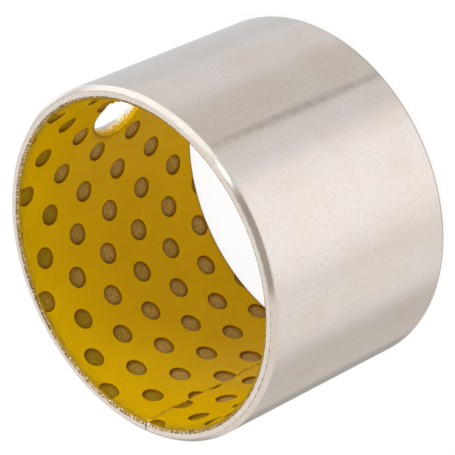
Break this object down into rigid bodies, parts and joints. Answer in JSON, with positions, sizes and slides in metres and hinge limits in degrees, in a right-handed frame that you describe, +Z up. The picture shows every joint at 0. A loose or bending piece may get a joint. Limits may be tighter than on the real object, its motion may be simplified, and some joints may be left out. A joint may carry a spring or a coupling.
{
  "type": "wrapped polymer-lined plain bushing",
  "caption": "Rolled steel-backed plain bushing with a yellow polymer lining full of round grease pockets, a straight seam and an oil hole.",
  "frame": {"origin": "middle of the lower end face, on the bore's axis", "axes": "+Z up along the bore's axis; the seam faces -Y"},
  "size_m": [0.044, 0.044, 0.0298],
  "materials": {
    "plated_steel": "tin-plated, satin",
    "sintered_bronze": "sintered, grainy",
    "acetal_lining": "moulded, semi-gloss"
  },
  "bodies": {
    "root": {"steel_backing": "plated_steel", "bronze_interlayer": "sintered_bronze", "polymer_lining": "acetal_lining"}
  },
  "joints": []
}
